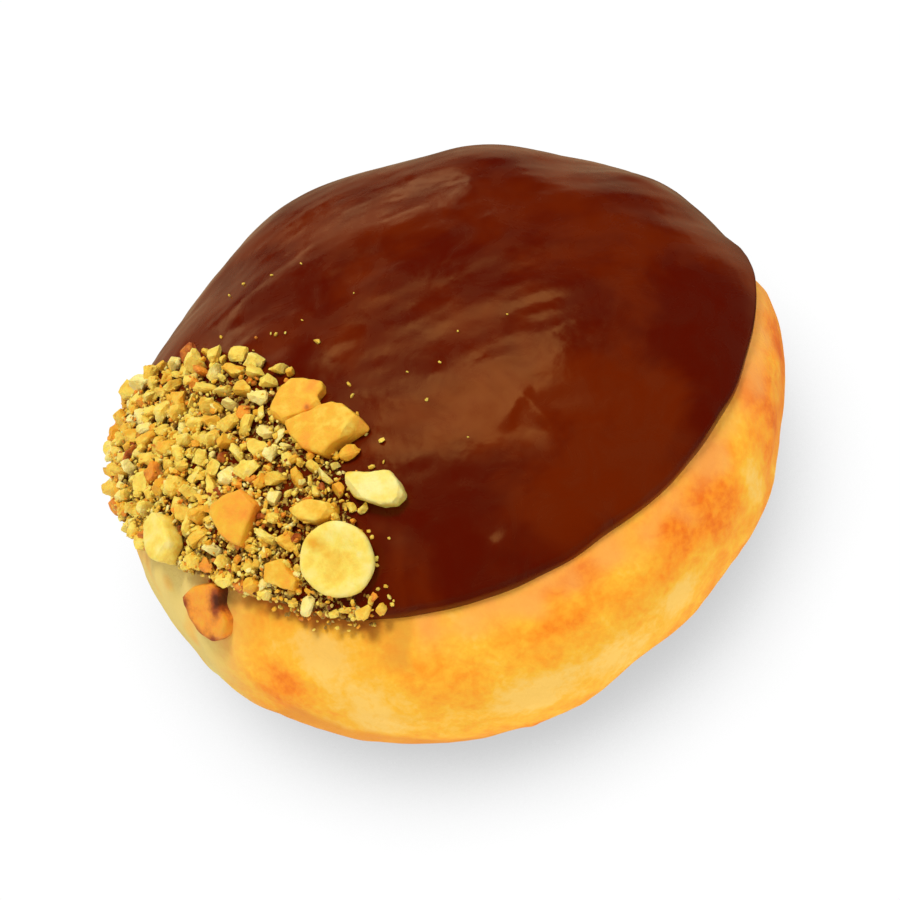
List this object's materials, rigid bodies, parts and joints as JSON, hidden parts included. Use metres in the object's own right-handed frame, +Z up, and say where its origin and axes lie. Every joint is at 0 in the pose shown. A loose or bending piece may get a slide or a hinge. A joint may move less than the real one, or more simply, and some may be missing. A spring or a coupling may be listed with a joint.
{
  "type": "filled doughnut",
  "caption": "Round uncut filled doughnut, dipped at a tilt in chocolate icing, with a patch of chopped nuts on one side of the icing.",
  "frame": {"origin": "middle of the flat spot that the doughnut rests on", "axes": "+Z up; +Y towards the back, where the icing reaches lowest; the nuts are on the -X side"},
  "size_m": [0.0899, 0.088, 0.0425],
  "materials": {
    "dough": "fried dough crust, golden with a paler ring round the middle",
    "icing": "satin chocolate icing",
    "golden_nut": "roasted nut, broken faces",
    "pale_nut": "pale nut, cut faces",
    "skin_nut": "roasted nut with brown skin"
  },
  "bodies": {
    "root": {"dough": "dough", "icing": "icing", "nut_large_flake": "golden_nut", "nut_small_flake": "golden_nut", "nut_pale_chunk": "pale_nut", "nut_slab": "golden_nut", "nut_tan_piece": "golden_nut", "nut_long_piece": "pale_nut", "nut_small_chunk": "golden_nut", "nut_skin_piece": "skin_nut", "nut_half": "pale_nut"}
  },
  "joints": []
}
